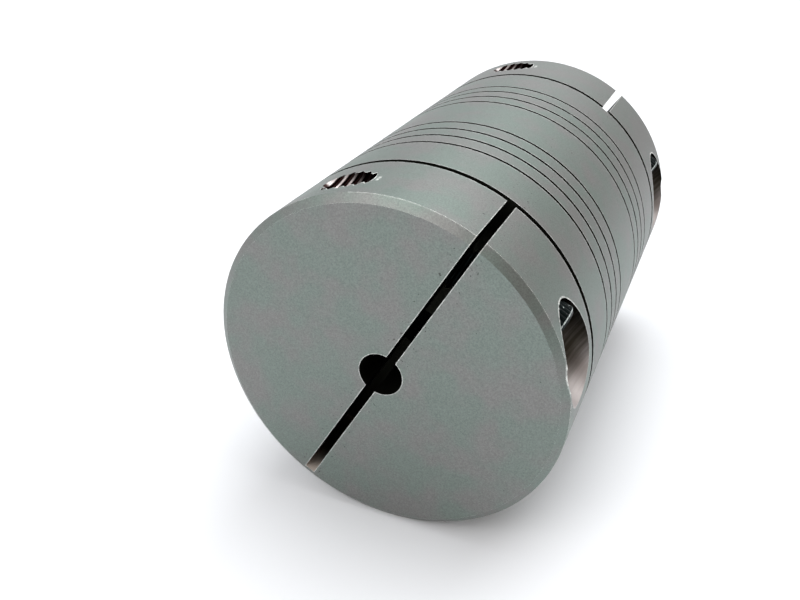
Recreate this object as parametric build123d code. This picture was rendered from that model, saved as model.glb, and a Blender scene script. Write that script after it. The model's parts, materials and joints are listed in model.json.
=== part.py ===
from build123d import *
import os

# Two-flexure helical beam coupling with integral clamp hubs.
# Frame: +Y along the shaft axis from the input end to the output end, +Z up, origin at the
# coupling's centre. The body is machined from one bar; its rigid zones and its two flexing
# zones are separate solids that meet on the flat planes where the flexing starts.
# Each hub is built with its clamp slot opening towards +Z, then turned about Y to its clocking.

# --- outside and bores (mm) ---
BODY_RADIUS = 25.4            # 2 in outside diameter
BODY_LENGTH = 76.2            # 3 in overall
BORE_RADIUS = 3.175           # 1/4 in shaft bores
RELIEF_RADIUS = 12.7          # hollow behind the hubs, from hub to hub
RELIEF_HALF_LENGTH = 20.5
CHAMFER_AXIAL = 0.8
CHAMFER_RADIAL = 1.1

# --- clamp hubs ---
CUT_DEPTH = 12.9              # end face to the middle of the transverse cut
CUT_WIDTH = 1.0
CUT_FLOOR_Z = -7.6            # the transverse cut stops here, past the bore
SLOT_FLOOR_WIDTH = 1.6        # 1/16 in saw; the drawn-up jaws lean in a little towards the rim
SLOT_MOUTH_WIDTH = 1.4
SLOT_FLOOR_Z = -23.9          # the relief slot stops short of the rim and leaves a thin web
SLOT_ANGLE = {-1: 30.3, 1: 35.0}   # clocking of each clamp slot, degrees from +Z towards +X

# --- clamp screws, 1/4-28 UNF by 3/4 in, socket head ---
SCREW_Z = 17.3                # screw axis to shaft axis
SCREW_DEPTH = 5.8             # screw axis to end face
HEAD_SEAT_X = 7.9             # counterbore floor to the slot's middle plane
HEAD_RADIUS = 4.7
HEAD_HEIGHT = 6.35
HEAD_CHAMFER = 0.45
SOCKET_APOTHEM = 2.38
SOCKET_DEPTH = 3.1
SCREW_LENGTH = 19.05
SHANK_RADIUS = 2.65           # runs inside the tapped hole's crests
TIP_CHAMFER = 0.5
COUNTERBORE_RADIUS = 5.15
CLEARANCE_RADIUS = 3.375
THREAD_PITCH = 0.907
THREAD_CREST_RADIUS = 2.73
THREAD_ROOT_RADIUS = 3.175
THREAD_START_X = 0.55 * THREAD_PITCH   # inside the slot; sets which groove breaks out at the rim

# --- flexures ---
FLEXURE_CENTRE = 11.18        # distance of each flexure's middle from the origin
BEAM_PITCH = 3.4
BEAM_TURNS = 4
SLIT_WIDTH = 0.6
SLIT_END_ANGLE = 208.0        # both ends of each slit, degrees from +Z towards +X
SLIT_HOLE_RADIUS = 0.8        # round hole that ends each slit
END_RING = 1.0                # least solid left outside a slit's end

FAR = 2 * BODY_RADIUS         # reach of a cutter that clears the body
HALF_SPAN = (BEAM_PITCH * BEAM_TURNS + SLIT_WIDTH) / 2 + END_RING
EPS = 0.1                     # overrun of a cutter past the face it opens


def rod_y(radius, y0, y1):
    """Cylinder along the shaft axis between two stations."""
    return Pos(0, (y0 + y1) / 2, 0) * Rot(90, 0, 0) * Cylinder(radius, abs(y1 - y0))


def rod_x(radius, x0, x1, side):
    """Cylinder along a hub's clamp screw axis."""
    return Pos((x0 + x1) / 2, station(side, SCREW_DEPTH), SCREW_Z) * Rot(0, 90, 0) * Cylinder(
        radius, abs(x1 - x0)
    )


def block(x0, x1, y0, y1, z0, z1):
    """Box between two corners."""
    centre = Pos((x0 + x1) / 2, (y0 + y1) / 2, (z0 + z1) / 2)
    return centre * Box(abs(x1 - x0), abs(y1 - y0), abs(z1 - z0))


def station(side, depth):
    """Y at a depth from a hub's end face; side -1 is the input end, +1 the output end."""
    return side * (BODY_LENGTH / 2 - depth)


def cut_near(side):
    """Y of the transverse cut's wall on the jaw side."""
    return station(side, CUT_DEPTH - CUT_WIDTH / 2)


def cut_far(side):
    """Y of the transverse cut's wall on the core side."""
    return station(side, CUT_DEPTH + CUT_WIDTH / 2)


def flexure_end(side):
    """Y of the plane between a hub core and its helical beam."""
    return side * (FLEXURE_CENTRE + HALF_SPAN)


def bore(side):
    """Shaft bore from outside the end face to inside the relief."""
    return rod_y(BORE_RADIUS, station(side, -EPS), side * (RELIEF_HALF_LENGTH - EPS))


def clamp_blank(side):
    """Full disc of the clamp zone with its chamfered end edge."""
    outline = Polyline(
        (0, cut_near(side)),
        (BODY_RADIUS, cut_near(side)),
        (BODY_RADIUS, station(side, CHAMFER_AXIAL)),
        (BODY_RADIUS - CHAMFER_RADIAL, station(side, 0)),
        (0, station(side, 0)),
        close=True,
    )
    return revolve(make_face(outline), Axis.Y)


def clamp_slot(side):
    """Clamp slot open at the rim and the relief slot below the bore, cut as one wedge."""
    floor = SLOT_FLOOR_WIDTH / 2
    mouth = SLOT_MOUTH_WIDTH / 2
    lean = (floor - mouth) / (BODY_RADIUS - SLOT_FLOOR_Z)
    over = mouth - lean
    outline = Polyline(
        (-floor, SLOT_FLOOR_Z),
        (floor, SLOT_FLOOR_Z),
        (over, BODY_RADIUS + 1),
        (-over, BODY_RADIUS + 1),
        close=True,
    )
    length = CUT_DEPTH + CUT_WIDTH / 2 + EPS
    middle = Pos(0, (station(side, -EPS) + cut_far(side)) / 2, 0)
    return middle * extrude(Plane.XZ * make_face(outline), length / 2, both=True)


def jaw(side, hand):
    """Half of the clamp zone: hand +1 is the seat side (+X), -1 the threaded side (-X)."""
    half_space = block(0, hand * FAR, station(side, -1), cut_near(side), -FAR, FAR)
    half_disc = clamp_blank(side) & half_space
    return half_disc - clamp_slot(side) - bore(side)


def seat_jaw(side):
    """Jaw with the counterbore and clearance hole for the screw head."""
    clearance = rod_x(CLEARANCE_RADIUS, 0, HEAD_SEAT_X + EPS, side)
    counterbore = rod_x(COUNTERBORE_RADIUS, HEAD_SEAT_X, FAR, side)
    return jaw(side, 1) - clearance - counterbore


def thread_groove(side):
    """Right-hand thread groove of the tapped hole, running out through the rim."""
    inner = THREAD_CREST_RADIUS - EPS
    turns = round(BODY_RADIUS / THREAD_PITCH)
    profile = Polyline(
        (inner, -0.44 * THREAD_PITCH),
        (inner, 0.44 * THREAD_PITCH),
        (THREAD_ROOT_RADIUS, 0.08 * THREAD_PITCH),
        (THREAD_ROOT_RADIUS, -0.08 * THREAD_PITCH),
        close=True,
    )
    section = Plane.XZ * make_face(profile)
    path = Helix(THREAD_PITCH, turns * THREAD_PITCH, THREAD_CREST_RADIUS)
    groove = sweep(section, path=path, is_frenet=True)
    return Pos(THREAD_START_X, station(side, SCREW_DEPTH), SCREW_Z) * Rot(0, -90, 0) * groove


def threaded_jaw(side):
    """Jaw with the tapped hole, drilled right through to the rim."""
    drilled = jaw(side, -1) - rod_x(THREAD_CREST_RADIUS, 0, -FAR, side)
    return drilled - thread_groove(side)


def hub_core(side):
    """Solid zone between the clamp and the flexure, with the shelf that carries the jaws."""
    core = rod_y(BODY_RADIUS, flexure_end(side), cut_far(side))
    shelf = rod_y(BODY_RADIUS, cut_far(side), cut_near(side))
    shelf &= block(-FAR, FAR, cut_far(side), cut_near(side), -FAR, CUT_FLOOR_Z)
    relief = rod_y(RELIEF_RADIUS, 0, side * RELIEF_HALF_LENGTH)
    return core + (shelf - clamp_slot(side)) - bore(side) - relief


def clamp_screw(side):
    """Socket head cap screw seated in the counterbore."""
    top = HEAD_SEAT_X + HEAD_HEIGHT
    tip = HEAD_SEAT_X - SCREW_LENGTH
    outline = Polyline(
        (0, tip),
        (SHANK_RADIUS - TIP_CHAMFER, tip),
        (SHANK_RADIUS, tip + TIP_CHAMFER),
        (SHANK_RADIUS, HEAD_SEAT_X),
        (HEAD_RADIUS, HEAD_SEAT_X),
        (HEAD_RADIUS, top - HEAD_CHAMFER),
        (HEAD_RADIUS - HEAD_CHAMFER, top),
        (0, top),
        close=True,
    )
    turned = revolve(Plane.XZ * make_face(outline), Axis.Z)
    hexagon = RegularPolygon(SOCKET_APOTHEM, 6, major_radius=False)
    socket = Pos(0, 0, top - SOCKET_DEPTH) * extrude(hexagon, SOCKET_DEPTH + EPS)
    return Pos(0, station(side, SCREW_DEPTH), SCREW_Z) * Rot(0, 90, 0) * (turned - socket)


def helical_slit(side):
    """Right-hand slit through the wall, centred on the flexure."""
    radius = (RELIEF_RADIUS + BODY_RADIUS) / 2
    height = BEAM_PITCH * BEAM_TURNS
    width = BODY_RADIUS - RELIEF_RADIUS + 3
    section = Plane.XZ * Pos(radius, 0) * Rectangle(width, SLIT_WIDTH)
    slit = sweep(section, path=Helix(BEAM_PITCH, height, radius), is_frenet=True)
    upright = Rot(0, SLIT_END_ANGLE - 90, 0) * Rot(-90, 0, 0)
    return Pos(0, side * FLEXURE_CENTRE - height / 2, 0) * upright * slit


def slit_end_holes(side):
    """Round radial holes that end the slit."""
    half = BEAM_PITCH * BEAM_TURNS / 2
    hole = Pos(0, 0, (RELIEF_RADIUS + BODY_RADIUS) / 2) * Cylinder(SLIT_HOLE_RADIUS, BODY_RADIUS)
    hole = Rot(0, SLIT_END_ANGLE, 0) * hole
    centre = side * FLEXURE_CENTRE
    return Pos(0, centre - half, 0) * hole + Pos(0, centre + half, 0) * hole


def helical_beam(side):
    """Flexing zone: a tube cut by the slit into one continuous helical beam."""
    inner = side * (FLEXURE_CENTRE - HALF_SPAN)
    tube = rod_y(BODY_RADIUS, inner, flexure_end(side))
    tube -= rod_y(RELIEF_RADIUS, inner - side * EPS, flexure_end(side) + side * EPS)
    return tube - helical_slit(side) - slit_end_holes(side)


def centre_spool():
    """Plain ring between the two flexures."""
    half = FLEXURE_CENTRE - HALF_SPAN
    return rod_y(BODY_RADIUS, -half, half) - rod_y(RELIEF_RADIUS, -FAR, FAR)


def save(shape, name):
    """Write one solid as a node of its own."""
    export_step(shape, f"parts/{name}.step")


def save_hub(side, end):
    """Write the pieces of one hub at its clocking."""
    turn = Rot(0, SLOT_ANGLE[side], 0)
    save(turn * hub_core(side), f"{end}_hub_core")
    save(turn * seat_jaw(side), f"{end}_seat_jaw")
    save(turn * threaded_jaw(side), f"{end}_threaded_jaw")
    save(turn * clamp_screw(side), f"{end}_clamp_screw")
    save(helical_beam(side), f"{end}_helical_beam")


os.makedirs("parts", exist_ok=True)
save_hub(-1, "input")
save(centre_spool(), "centre_spool")
save_hub(1, "output")
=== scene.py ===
import json
import math

import bpy
import numpy as np
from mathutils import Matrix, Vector


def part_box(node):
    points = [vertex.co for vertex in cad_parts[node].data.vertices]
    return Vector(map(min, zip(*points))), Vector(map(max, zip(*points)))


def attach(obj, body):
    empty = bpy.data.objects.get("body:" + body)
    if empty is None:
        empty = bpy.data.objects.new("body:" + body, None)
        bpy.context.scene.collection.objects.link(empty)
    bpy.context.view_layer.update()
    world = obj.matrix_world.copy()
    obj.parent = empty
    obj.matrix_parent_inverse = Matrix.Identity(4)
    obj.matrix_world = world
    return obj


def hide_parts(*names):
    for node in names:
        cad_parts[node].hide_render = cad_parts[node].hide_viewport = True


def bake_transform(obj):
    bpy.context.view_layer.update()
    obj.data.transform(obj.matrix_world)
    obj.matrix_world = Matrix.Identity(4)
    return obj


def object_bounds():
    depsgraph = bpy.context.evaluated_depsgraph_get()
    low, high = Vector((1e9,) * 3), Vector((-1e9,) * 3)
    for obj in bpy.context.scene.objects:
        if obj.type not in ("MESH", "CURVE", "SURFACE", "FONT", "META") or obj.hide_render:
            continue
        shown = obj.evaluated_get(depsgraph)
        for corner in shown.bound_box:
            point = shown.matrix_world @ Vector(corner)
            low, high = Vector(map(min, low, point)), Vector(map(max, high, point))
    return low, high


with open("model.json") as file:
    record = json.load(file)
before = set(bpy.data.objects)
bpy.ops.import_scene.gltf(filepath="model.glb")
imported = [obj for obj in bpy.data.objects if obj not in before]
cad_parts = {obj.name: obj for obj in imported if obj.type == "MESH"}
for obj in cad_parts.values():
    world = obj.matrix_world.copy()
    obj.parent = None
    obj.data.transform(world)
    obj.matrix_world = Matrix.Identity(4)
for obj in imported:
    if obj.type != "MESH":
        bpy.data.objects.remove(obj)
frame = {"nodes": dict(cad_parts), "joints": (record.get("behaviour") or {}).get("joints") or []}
CAD_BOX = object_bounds()

MM = 0.001
IN_MM = (1000.0, 1000.0, 1000.0)
ENDS = ("input", "output")
NODES = frame["nodes"]
JOINTS = {joint["name"]: joint for joint in frame["joints"]}
SHAFT = Vector((0, 1, 0))

# --- the body's places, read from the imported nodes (metres) ---
BODY_RADIUS = CAD_BOX[1].x
HALF_LENGTH = CAD_BOX[1].y
CUT_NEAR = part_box("output_seat_jaw")[0].y
FLEXURE_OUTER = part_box("output_helical_beam")[1].y
FLEXURE_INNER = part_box("output_helical_beam")[0].y


# --- hub axes -----------------------------------------------------------------------------

class Hub:
    """One clamp hub's own axes: side points to its counterbore and up to its clamp slot's mouth.

    The origin is on the clamp screw's axis, at the middle of the clamp slot."""

    def __init__(self, end):
        joint = JOINTS[f"{end}_screw_turn"]
        self.end = end
        self.origin = Vector(joint["pos_m"])
        self.side = -Vector(joint["axis"]).normalized()
        self.up = self.side.cross(SHAFT)

    def point(self, along, radius, turn):
        """Point at a distance along the screw axis, a radius from it and a turn from up."""
        return (
            self.origin
            + self.side * along
            + (self.up * math.cos(turn) + SHAFT * math.sin(turn)) * radius
        )

    def measure(self, node):
        """Distance along the screw axis and radius from it of each vertex of a CAD node."""
        offsets = np.array([v.co - self.origin for v in NODES[node].data.vertices])
        along = offsets @ np.array(self.side)
        radius = np.linalg.norm(offsets - np.outer(along, np.array(self.side)), axis=1)
        return along, radius


HUBS = {end: Hub(end) for end in ENDS}


# --- node graphs --------------------------------------------------------------------------

class Graph:
    """Short calls for one material's node tree."""

    def __init__(self, name):
        self.material = bpy.data.materials.new(name)
        self.material.use_nodes = True
        self.tree = self.material.node_tree
        self.tree.nodes.clear()

    def node(self, kind, **settings):
        made = self.tree.nodes.new(kind)
        for key, value in settings.items():
            setattr(made, key, value)
        return made

    def put(self, socket, value):
        """Link an output to a socket, or set a constant on it."""
        if isinstance(value, bpy.types.NodeSocket):
            self.tree.links.new(value, socket)
        else:
            socket.default_value = value

    def math(self, operation, *values, clamp=False):
        made = self.node("ShaderNodeMath", operation=operation, use_clamp=clamp)
        for socket, value in zip(made.inputs, values):
            self.put(socket, value)
        return made.outputs[0]

    def vector(self, operation, *values):
        made = self.node("ShaderNodeVectorMath", operation=operation)
        for socket, value in zip(made.inputs, values):
            self.put(socket, value)
        scalar = operation in ("DOT_PRODUCT", "LENGTH", "DISTANCE")
        return made.outputs["Value" if scalar else "Vector"]

    def split(self, vector):
        """The three coordinates of a vector."""
        made = self.node("ShaderNodeSeparateXYZ")
        self.put(made.inputs[0], vector)
        return made.outputs

    def join(self, *values):
        """A vector from three coordinates."""
        made = self.node("ShaderNodeCombineXYZ")
        for socket, value in zip(made.inputs, values):
            self.put(socket, value)
        return made.outputs[0]

    def length(self, first, second):
        """Length of the vector with two coordinates."""
        squares = [self.math("MULTIPLY", value, value) for value in (first, second)]
        return self.math("SQRT", self.math("ADD", *squares))

    def pick(self, amount, first, second):
        """Number between two, by amount."""
        gap = self.math("SUBTRACT", second, first)
        return self.math("ADD", first, self.math("MULTIPLY", gap, amount))

    def step(self, value, low, high):
        """0 below low and 1 above high, smooth between; low above high turns it round."""
        made = self.node("ShaderNodeMapRange", interpolation_type="SMOOTHSTEP")
        self.put(made.inputs["Value"], value)
        rising = low < high
        self.put(made.inputs["From Min"], low if rising else high)
        self.put(made.inputs["From Max"], high if rising else low)
        self.put(made.inputs["To Min"], 0.0 if rising else 1.0)
        self.put(made.inputs["To Max"], 1.0 if rising else 0.0)
        return made.outputs["Result"]

    def band(self, value, centre, half, soft):
        """1 within half of centre, falling to 0 over soft."""
        away = self.math("ABSOLUTE", self.math("SUBTRACT", value, centre))
        return self.step(away, half + soft, half)

    def every(self, *values):
        """Product of masks."""
        out = values[0]
        for value in values[1:]:
            out = self.math("MULTIPLY", out, value)
        return out

    def most(self, *values):
        """Largest of masks."""
        out = values[0]
        for value in values[1:]:
            out = self.math("MAXIMUM", out, value)
        return out

    def mix(self, amount, first, second):
        """Colour between two, by amount."""
        made = self.node("ShaderNodeMix", data_type="RGBA")
        self.put(made.inputs[0], amount)
        self.put(made.inputs[6], (*first, 1.0) if isinstance(first, tuple) else first)
        self.put(made.inputs[7], (*second, 1.0) if isinstance(second, tuple) else second)
        return made.outputs[2]

    def noise(self, vector, scale, detail=2.0, roughness=0.5):
        made = self.node("ShaderNodeTexNoise")
        self.put(made.inputs["Vector"], vector)
        self.put(made.inputs["Scale"], scale)
        self.put(made.inputs["Detail"], detail)
        self.put(made.inputs["Roughness"], roughness)
        return made.outputs["Fac"]

    def finish(self, colour, metallic, roughness, height=None, bump_distance=0.0):
        """The Principled surface that all the graphs end in."""
        shader = self.node("ShaderNodeBsdfPrincipled")
        self.put(shader.inputs["Base Color"], colour)
        self.put(shader.inputs["Metallic"], metallic)
        self.put(shader.inputs["Roughness"], roughness)
        if height is not None:
            bump = self.node("ShaderNodeBump")
            self.put(bump.inputs["Height"], height)
            self.put(bump.inputs["Strength"], 1.0)
            self.put(bump.inputs["Distance"], bump_distance)
            self.put(shader.inputs["Normal"], bump.outputs["Normal"])
        output = self.node("ShaderNodeOutputMaterial")
        self.tree.links.new(shader.outputs["BSDF"], output.inputs["Surface"])
        return self.material


# --- materials ----------------------------------------------------------------------------

REST = "rest_place"          # attribute with a bending piece's coordinates at rest

STEEL_GREEN = (0.188, 0.222, 0.202)
STEEL_MAUVE = (0.212, 0.213, 0.206)
# near-white colour of the painted edge highlight
EDGE_HIGHLIGHT = (0.95, 0.96, 0.92)
# painted shade on the walls deep inside the cuts
CUT_SHADE = (0.022, 0.023, 0.018)
CUT_WARM = (0.16, 0.13, 0.105)
# painted light on the slot's floor near the end face
CUT_LIT_PALE = (0.62, 0.55, 0.49)
# brown painted shade deep in the counterbore, and painted light toward its mouth
BORE_SHADE_BROWN = (0.055, 0.048, 0.036)
BORE_LIT_PALE = (0.46, 0.42, 0.41)
# painted shade in the tapped hole's grooves
THREAD_SHADE = (0.026, 0.011, 0.010)
THREAD_LIT = (0.50, 0.45, 0.44)
SPECK = (0.045, 0.043, 0.038)
OXIDE_DARK = (0.003, 0.005, 0.005)
OXIDE_PALE = (0.009, 0.013, 0.013)
# colour of the painted highlights on the screw heads
OXIDE_HIGHLIGHT = (0.55, 0.60, 0.58)
FLOOR_WHITE = (0.765, 0.77, 0.79, 1.0)

# --- the hubs' machining, read from the screws and their joints (millimetres) ---
SCREW_ALONG, SCREW_RADII = HUBS["input"].measure("input_clamp_screw")
HEAD_TOP = SCREW_ALONG.max() / MM
HEAD_RADIUS = SCREW_RADII.max() / MM
SCREW_STATION = abs(JOINTS["input_screw_turn"]["pos_m"][1]) / MM
SCREW_HEIGHT = HUBS["input"].origin.dot(HUBS["input"].up) / MM
SLOT_FLOOR = Vector(JOINTS["input_clamp"]["pos_m"]).dot(HUBS["input"].up) / MM
CUT_FLOOR = -7.6             # height where the transverse cut stops, past the bore
TAP_RADIUS = 3.3             # just outside the tapped hole's roots
COUNTERBORE_RADIUS = 5.2     # just outside the counterbore's wall
SEAT = 7.9                   # counterbore floor to the slot's middle plane
SLOT_SIDE = 0.95             # just outside the clamp slot's walls
CHAMFER_AXIAL = 0.8
CHAMFER_RADIAL = 1.1
EDGE_WIDTH = 0.36            # band of painted highlight along a sharp edge
SEAM_SOFT = 0.02


def hub_places(g, place):
    """Places in the nearer hub's own axes: across its slot, up it, and round its screw."""
    y = g.split(place)[1]
    at_output = g.math("GREATER_THAN", y, 0.0)
    sides = [g.vector("DOT_PRODUCT", place, tuple(HUBS[end].side)) for end in ENDS]
    heights = [g.vector("DOT_PRODUCT", place, tuple(HUBS[end].up)) for end in ENDS]
    across = g.pick(at_output, *sides)
    up = g.pick(at_output, *heights)
    past_screw = g.math("SUBTRACT", g.math("ABSOLUTE", y), SCREW_STATION)
    above_screw = g.math("SUBTRACT", up, SCREW_HEIGHT)
    return across, up, past_screw, above_screw, g.length(past_screw, above_screw)


def steel(name, bending):
    """Satin turned steel of the coupling's body; a bending piece reads its places at rest."""
    g = Graph(name)
    if bending:
        source = g.node("ShaderNodeAttribute", attribute_name=REST).outputs["Vector"]
    else:
        source = g.node("ShaderNodeTexCoord").outputs["Object"]
    place = g.vector("MULTIPLY", source, IN_MM)
    x, y, z = g.split(place)
    far = g.math("ABSOLUTE", y)
    radius = g.length(x, z)
    outer = BODY_RADIUS / MM
    length = HALF_LENGTH / MM

    across, up, past_screw, above_screw, screw_radius = hub_places(g, place)

    # surfaces
    nx, ny, nz = g.split(g.node("ShaderNodeTexCoord").outputs["Normal"])
    outward = g.math("ADD", g.math("MULTIPLY", nx, x), g.math("MULTIPLY", nz, z))
    outward = g.math("DIVIDE", outward, radius)
    endward = g.math("ABSOLUTE", ny)
    rim = g.every(g.step(radius, outer - 0.20, outer - 0.15), g.step(outward, 0.6, 0.75))
    face = g.step(far, length - 0.03, length - 0.01)
    along_slant = g.math("DIVIDE", far, CHAMFER_AXIAL)
    slant = g.math("ADD", along_slant, g.math("DIVIDE", radius, CHAMFER_RADIAL))
    slant_at = length / CHAMFER_AXIAL + outer / CHAMFER_RADIAL - 1.0
    inner_far = length - CHAMFER_AXIAL
    inner_radius = outer - CHAMFER_RADIAL
    chamfer = g.every(
        g.band(slant, slant_at, 0.12, 0.04),
        g.step(far, inner_far - 0.1, inner_far - 0.03),
        g.step(radius, inner_radius - 0.1, inner_radius - 0.03),
        g.step(g.math("ADD", outward, endward), 1.1, 1.25),
    )
    outside = g.most(rim, face, chamfer)

    # grain, blotches and specks
    grain = g.noise(place, 5.5, 3.0, 0.6)
    fine = g.noise(place, 14.0, 1.0)
    blotch = g.noise(place, 0.16, 2.0, 0.55)
    to_output = g.math("MULTIPLY", g.step(y, 0.0, 36.0), 0.6)
    mauve = g.math("ADD", g.step(blotch, 0.38, 0.68), to_output)
    tone = g.mix(g.math("MINIMUM", mauve, 1.0), STEEL_GREEN, STEEL_MAUVE)
    shade = g.math("ADD", 0.56, g.math("MULTIPLY", grain, 0.86))
    colour = g.vector("MULTIPLY", tone, g.join(shade, shade, shade))
    specks = g.step(g.noise(place, 1.9, 1.0), 0.80, 0.84)
    beside_slot = g.band(g.math("ABSOLUTE", across), 1.5, 0.5, 0.5)
    specks = g.most(specks, g.every(beside_slot, g.step(g.noise(place, 2.3, 2.0), 0.67, 0.72)))
    colour = g.mix(g.math("MULTIPLY", specks, 0.7), colour, SPECK)

    # painted highlight along the sharp edges, where burrs catch the light, but not where two
    # zones of the one body meet
    bevel = g.node("ShaderNodeBevel", samples=6)
    g.put(bevel.inputs["Radius"], EDGE_WIDTH * MM)
    normal = g.node("ShaderNodeNewGeometry").outputs["Normal"]
    sharp = g.step(g.vector("DOT_PRODUCT", bevel.outputs["Normal"], normal), 0.91, 0.80)
    seam = g.most(
        g.band(far, FLEXURE_OUTER / MM, EDGE_WIDTH, SEAM_SOFT),
        g.band(far, FLEXURE_INNER / MM, EDGE_WIDTH, SEAM_SOFT),
        g.every(
            g.band(far, CUT_NEAR / MM, EDGE_WIDTH, SEAM_SOFT),
            g.step(up, CUT_FLOOR + 0.2, CUT_FLOOR),
        ),
        g.every(
            g.band(across, 0.0, 0.4, SEAM_SOFT),
            g.step(up, SLOT_FLOOR, SLOT_FLOOR - SEAM_SOFT),
        ),
        g.every(g.band(screw_radius, 4.4, 1.0, 0.06), g.step(across, -5.0, -6.0)),
    )
    # the painted edge highlight is broken up unevenly by noise
    highlight_amount = g.math("ADD", 0.35, g.step(g.noise(place, 1.1, 2.0, 0.7), 0.35, 0.65))
    edge_highlight = g.every(sharp, g.math("SUBTRACT", 1.0, seam), g.math("MINIMUM", highlight_amount, 1.0))
    colour = g.mix(g.math("MULTIPLY", edge_highlight, 0.85), colour, EDGE_HIGHLIGHT)

    # cut walls: painted shade inside the slots, bare threads with painted highlights over painted
    # shade, and a brown counterbore painted darker deep in and lighter toward its mouth
    depth = g.math("SUBTRACT", outer, radius)
    web = g.every(g.band(across, 0.0, SLOT_SIDE, 0.05), g.step(up, SLOT_FLOOR + 1.2, SLOT_FLOOR))
    # the slot's floor is painted lit near the end face, over its warm colour deeper in
    lit_web = g.every(web, g.step(far, length - 6.0, length - 0.5))
    wall = g.mix(web, CUT_SHADE, g.mix(lit_web, CUT_WARM, CUT_LIT_PALE))
    beyond_cut = g.step(far, CUT_NEAR / MM + 0.05, CUT_NEAR / MM + 0.1)
    in_tap = g.every(
        g.step(across, -SLOT_SIDE, -SLOT_SIDE - 0.05),
        g.step(screw_radius, TAP_RADIUS, TAP_RADIUS - 0.02),
        beyond_cut,
    )
    # painted highlights on the thread flanks near the hole's mouth
    lit = g.every(
        g.step(screw_radius, 2.95, 2.74),
        g.step(depth, 3.0, 0.8),
        g.step(above_screw, -2.72, -2.55),
        g.step(above_screw, 1.2, -2.2),
    )
    wall = g.mix(in_tap, wall, g.mix(lit, THREAD_SHADE, THREAD_LIT))
    in_counterbore = g.every(
        g.step(across, SEAT - 0.05, SEAT),
        g.step(screw_radius, COUNTERBORE_RADIUS + 0.1, COUNTERBORE_RADIUS),
        beyond_cut,
    )
    # counterbore wall: painted shade deep in, painted light toward its mouth, with turned streaks
    turned = g.join(g.math("MULTIPLY", across, 2.6), past_screw, above_screw)
    turned = g.vector("MULTIPLY", turned, (1.0, 0.16, 0.16))
    streak = g.math("MULTIPLY", g.noise(turned, 1.0, 2.0), 0.5)
    lit_and_streaked = g.math("ADD", g.step(across, 17.5, 22.0), g.math("SUBTRACT", streak, 0.2), clamp=True)
    wall = g.mix(in_counterbore, wall, g.mix(lit_and_streaked, BORE_SHADE_BROWN, BORE_LIT_PALE))
    colour = g.mix(outside, wall, colour)

    roughness = g.math("ADD", 0.40, g.math("MULTIPLY", fine, 0.16))
    height = g.math("MULTIPLY", g.math("ADD", grain, fine), 0.5)
    inside = g.math("SUBTRACT", 1.0, outside)
    metallic = g.math("SUBTRACT", 1.0, g.math("MULTIPLY", lit_web, inside))
    return g.finish(colour, metallic, roughness, height, 0.000012)


def black_oxide(name):
    """Black oxide on the clamp screws, with painted highlights along the top edges of their heads
    and on their knurl tips.
    """
    g = Graph(name)
    place = g.vector("MULTIPLY", g.node("ShaderNodeTexCoord").outputs["Object"], IN_MM)
    across, *_, screw_radius = hub_places(g, place)
    cloud = g.noise(place, 1.3, 3.0)
    colour = g.mix(cloud, OXIDE_DARK, OXIDE_PALE)
    # painted highlight along the head's top edge, broken by noise, and on the knurl tips
    edge = g.every(
        g.band(across, HEAD_TOP - 0.36, 0.05, 0.06),
        g.step(screw_radius, HEAD_RADIUS - 0.4, HEAD_RADIUS - 0.3),
    )
    knurl_glints = g.every(
        g.step(g.noise(place, 2.6, 2.0), 0.66, 0.70),
        g.step(screw_radius, HEAD_RADIUS - 0.06, HEAD_RADIUS - 0.02),
    )
    highlight_amount = g.most(g.math("MULTIPLY", edge, g.step(g.noise(place, 2.1, 2.0), 0.25, 0.5)), knurl_glints)
    colour = g.mix(highlight_amount, colour, OXIDE_HIGHLIGHT)
    roughness = g.math("ADD", 0.42, g.math("MULTIPLY", g.noise(place, 6.0), 0.2))
    return g.finish(colour, 1.0, roughness, g.noise(place, 9.0), 0.00001)


def pale_floor():
    """Plain white table."""
    g = Graph("floor_white")
    return g.finish(FLOOR_WHITE, 0.0, 0.7)


BODY_STEEL = steel("satin_steel", bending=False)
BEAM_STEEL = steel("satin_steel_beam", bending=True)
SCREW_BLACK = black_oxide("black_oxide")


def paint(obj, material):
    """Give every face of a piece one material."""
    obj.data.materials.clear()
    obj.data.materials.append(material)


# --- body: the CAD zones keep their meshes -------------------------------------------------

for end in ENDS:
    for part in ("hub_core", "seat_jaw", "threaded_jaw"):
        paint(NODES[f"{end}_{part}"], BODY_STEEL)
paint(NODES["centre_spool"], BODY_STEEL)


def bending_beam(end):
    """Copy of a helical beam that keeps its places at rest in an attribute."""
    node = f"{end}_helical_beam"
    mesh = NODES[node].data.copy()
    beam = bpy.data.objects.new(f"{end}_bending_beam", mesh)
    bpy.context.scene.collection.objects.link(beam)
    rest = mesh.attributes.new(REST, "FLOAT_VECTOR", "POINT")
    places = np.zeros(len(mesh.vertices) * 3, np.float32)
    mesh.vertices.foreach_get("co", places)
    rest.data.foreach_set("vector", places)
    paint(beam, BEAM_STEEL)
    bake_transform(beam)
    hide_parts(node)


bending_beam("input")
bending_beam("output")


# --- clamp screws --------------------------------------------------------------------------

THREAD_PITCH = 25.4 * MM / 28          # 1/4-28 UNF
THREAD_MAJOR = 3.11 * MM
THREAD_MINOR = 2.60 * MM
THREAD_START = 0.55                    # of the pitch, as the tapped hole's groove starts
CREST_HALF = 0.06                      # of the pitch
ROOT_HALF = 0.40
RINGS_PER_PITCH = 12
SHANK_SIDES = 72
HEAD_SIDES = 2 * SHANK_SIDES
KNURLS = 36
KNURL_DEPTH = 0.16 * MM
SOCKET_APOTHEM = 2.38 * MM             # 3/16 in hexagon key
SOCKET_DEPTH = 3.1 * MM
SOCKET_LEAD = 0.3 * MM
HEAD_CHAMFER = 0.45 * MM
TIP_CHAMFER = 0.55 * MM


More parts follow.
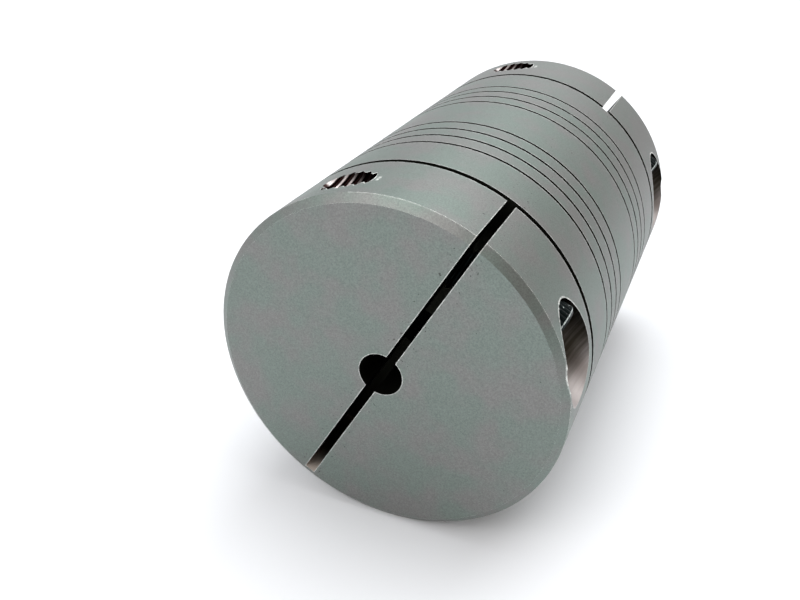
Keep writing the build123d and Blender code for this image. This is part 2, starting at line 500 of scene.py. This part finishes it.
def thread_radius(along, turn):
    """Radius of the right-hand thread; its ridges run in the tapped hole's grooves."""
    offset = (along / THREAD_PITCH + turn / (2 * math.pi) - THREAD_START) % 1.0
    away = min(offset, 1.0 - offset)
    share = (away - CREST_HALF) / (ROOT_HALF - CREST_HALF)
    return THREAD_MAJOR - (THREAD_MAJOR - THREAD_MINOR) * min(max(share, 0.0), 1.0)


def hexagon_radius(turn):
    """Radius of the socket's hexagon at a turn."""
    sector = math.pi / 3
    return SOCKET_APOTHEM / math.cos((turn % sector) - sector / 2)


def knurled(radius, turn):
    """Radius of the head's straight knurling at a turn."""
    wave = 0.5 - 0.5 * math.cos(turn * KNURLS)
    return radius - KNURL_DEPTH * wave ** 1.5


class RingMesh:
    """Closed surface built from rings of points along a screw axis."""

    def __init__(self, hub):
        self.hub = hub
        self.points = []
        self.faces = []
        self.last = None

    def ring(self, sides, along, radius):
        """Add a ring; radius is a number or a function of the turn."""
        first = len(self.points)
        for i in range(sides):
            turn = 2 * math.pi * i / sides
            here = radius(turn) if callable(radius) else radius
            self.points.append(self.hub.point(along, here, turn))
        ids = list(range(first, first + sides))
        if self.last is not None:
            self.bridge(self.last, ids)
        self.last = ids

    def bridge(self, old, new):
        """Faces between two rings; the old one may have twice the new one's sides."""
        ratio = len(old) // len(new)
        for i in range(len(new)):
            j = (i + 1) % len(new)
            edge = [old[(i * ratio + k) % len(old)] for k in range(ratio + 1)]
            self.faces.append([new[i], *edge, new[j]])

    def cap(self, along, closing):
        """Close the surface at a point on the axis, before the first ring or after the last."""
        centre = len(self.points)
        self.points.append(self.hub.point(along, 0.0, 0.0))
        ids = self.last
        for i, here in enumerate(ids):
            following = ids[(i + 1) % len(ids)]
            self.faces.append([here, following, centre] if closing else [following, here, centre])

    def make(self, name):
        mesh = bpy.data.meshes.new(name)
        mesh.from_pydata(self.points, [], self.faces)
        mesh.update()
        made = bpy.data.objects.new(name, mesh)
        bpy.context.scene.collection.objects.link(made)
        return made


def clamp_screw(hub):
    """Socket head cap screw with a cut thread, a knurled head and a hexagon socket."""
    node = f"{hub.end}_clamp_screw"
    along, radius = hub.measure(node)
    top, tip = along.max(), along.min()
    head = radius.max()
    seat = along[radius > 0.95 * head].min()
    lead = SOCKET_APOTHEM / math.cos(math.pi / 6) + 0.1 * MM
    rings = RingMesh(hub)
    floor = top - SOCKET_DEPTH
    rings.ring(HEAD_SIDES, floor, lambda turn: 0.8 * hexagon_radius(turn))
    rings.cap(floor - 0.5 * MM, closing=False)
    rings.ring(HEAD_SIDES, floor, hexagon_radius)
    rings.ring(HEAD_SIDES, top - SOCKET_LEAD, hexagon_radius)
    rings.ring(HEAD_SIDES, top, lead)
    rings.ring(HEAD_SIDES, top, head - HEAD_CHAMFER)
    rings.ring(HEAD_SIDES, top - 0.6 * HEAD_CHAMFER, head - 0.4 * HEAD_CHAMFER)
    for height in np.linspace(top - HEAD_CHAMFER, seat + 0.7 * MM, 8):
        rings.ring(HEAD_SIDES, height, lambda turn: knurled(head, turn))
    rings.ring(HEAD_SIDES, seat + 0.5 * MM, head - KNURL_DEPTH)
    rings.ring(HEAD_SIDES, seat + 0.15 * MM, head - KNURL_DEPTH)
    rings.ring(HEAD_SIDES, seat, head - 2 * KNURL_DEPTH)
    rings.ring(SHANK_SIDES, seat, THREAD_MAJOR + 0.12 * MM)
    rings.ring(SHANK_SIDES, seat - 0.25 * MM, THREAD_MINOR + 0.1 * MM)
    start, stop = seat - 0.5 * MM, tip + TIP_CHAMFER
    count = round((start - stop) / THREAD_PITCH * RINGS_PER_PITCH)
    for place in np.linspace(start, stop, count + 1):
        fade = min(1.0, (start - place) / THREAD_PITCH)
        rings.ring(
            SHANK_SIDES,
            place,
            lambda turn: THREAD_MINOR + fade * (thread_radius(place, turn) - THREAD_MINOR),
        )
    rings.ring(SHANK_SIDES, tip, THREAD_MINOR - 0.3 * MM)
    rings.cap(tip, closing=True)
    screw = rings.make(f"{hub.end}_socket_screw")
    paint(screw, SCREW_BLACK)
    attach(screw, f"{hub.end}_screw")
    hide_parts(node)


for end in ENDS:
    clamp_screw(HUBS[end])


# --- floor, light and camera ---------------------------------------------------------------

def floor_plane(half):
    """Plain floor under the coupling."""
    low = CAD_BOX[0].z
    corners = [(-half, -half, low), (half, -half, low), (half, half, low), (-half, half, low)]
    mesh = bpy.data.meshes.new("floor")
    mesh.from_pydata(corners, [], [(0, 1, 2, 3)])
    made = bpy.data.objects.new("floor", mesh)
    bpy.context.scene.collection.objects.link(made)
    paint(made, pale_floor())


def softbox(name, place, size, power, colour):
    """Square area light aimed at the coupling's middle."""
    light = bpy.data.lights.new(name, "AREA")
    light.shape = "SQUARE"
    light.size = size
    light.energy = power
    light.color = colour
    lamp = bpy.data.objects.new(name, light)
    lamp.location = place
    lamp.rotation_euler = (-Vector(place)).to_track_quat("-Z", "Y").to_euler()
    bpy.context.scene.collection.objects.link(lamp)


def soft_sky(left, right, shade, shade_side):
    """Even light from all round, fading from left to right, with a dimmer patch on one side.

    The dimming is only in the light: the sky itself is seen plain."""
    world = bpy.data.worlds.new("soft_sky")
    world.use_nodes = True
    tree = world.node_tree
    place = tree.nodes.new("ShaderNodeTexCoord")
    split = tree.nodes.new("ShaderNodeSeparateXYZ")
    fade = tree.nodes.new("ShaderNodeMapRange")
    fade.interpolation_type = "SMOOTHSTEP"
    fade.inputs["From Min"].default_value = -0.3
    fade.inputs["From Max"].default_value = 0.9
    mix = tree.nodes.new("ShaderNodeMix")
    mix.data_type = "RGBA"
    mix.inputs[6].default_value = (*left, 1.0)
    mix.inputs[7].default_value = (*right, 1.0)
    dot = tree.nodes.new("ShaderNodeVectorMath")
    dot.operation = "DOT_PRODUCT"
    dot.inputs[1].default_value = Vector(shade_side).normalized()
    patch = tree.nodes.new("ShaderNodeMapRange")
    patch.interpolation_type = "SMOOTHSTEP"
    patch.inputs["From Min"].default_value = 0.84
    patch.inputs["From Max"].default_value = 0.97
    dimmed = tree.nodes.new("ShaderNodeMix")
    dimmed.data_type = "RGBA"
    dimmed.inputs[7].default_value = (*shade, 1.0)
    tree.links.new(place.outputs["Generated"], dot.inputs[0])
    tree.links.new(dot.outputs["Value"], patch.inputs["Value"])
    tree.links.new(patch.outputs["Result"], dimmed.inputs[0])
    tree.links.new(mix.outputs[2], dimmed.inputs[6])
    tree.links.new(place.outputs["Generated"], split.inputs[0])
    tree.links.new(split.outputs["X"], fade.inputs["Value"])
    tree.links.new(fade.outputs["Result"], mix.inputs[0])
    path = tree.nodes.new("ShaderNodeLightPath")
    seen = tree.nodes.new("ShaderNodeMix")
    seen.data_type = "RGBA"
    seen.inputs[7].default_value = (*left, 1.0)
    tree.links.new(path.outputs["Is Camera Ray"], seen.inputs[0])
    tree.links.new(dimmed.outputs[2], seen.inputs[6])
    tree.links.new(seen.outputs[2], tree.nodes["Background"].inputs["Color"])
    bpy.context.scene.world = world


CAMERA_AT = (0.03823, -0.11744, 0.06118)
CAMERA_HEADING = 24.02               # degrees left of the shaft axis
CAMERA_DIP = 29.47                   # degrees below the horizon
CAMERA_LENS = 36.02


def photo_camera():
    """Close camera in front of the input end, to its right and above it."""
    camera = bpy.data.cameras.new("camera")
    camera.lens = CAMERA_LENS
    camera.sensor_width = 36.0
    camera.clip_start = 0.005
    camera.clip_end = 20.0
    body = bpy.data.objects.new("camera", camera)
    body.location = CAMERA_AT
    body.rotation_euler = (math.radians(90 - CAMERA_DIP), 0.0, math.radians(CAMERA_HEADING))
    bpy.context.scene.collection.objects.link(body)
    bpy.context.scene.camera = body


floor_plane(half=3.0)
soft_sky(
    left=(0.97, 0.98, 1.00),
    right=(0.74, 0.72, 0.70),
    shade=(0.12, 0.06, 0.02),
    shade_side=(0.66, -0.64, 0.38),
)
softbox("key", place=(-0.28, -0.78, 0.72), size=0.8, power=4.5, colour=(1.0, 0.99, 0.97))
softbox("top", place=(0.10, 0.35, 1.00), size=0.9, power=10.0, colour=(0.96, 0.99, 1.0))
photo_camera()
bpy.context.scene.view_settings.view_transform = "Standard"
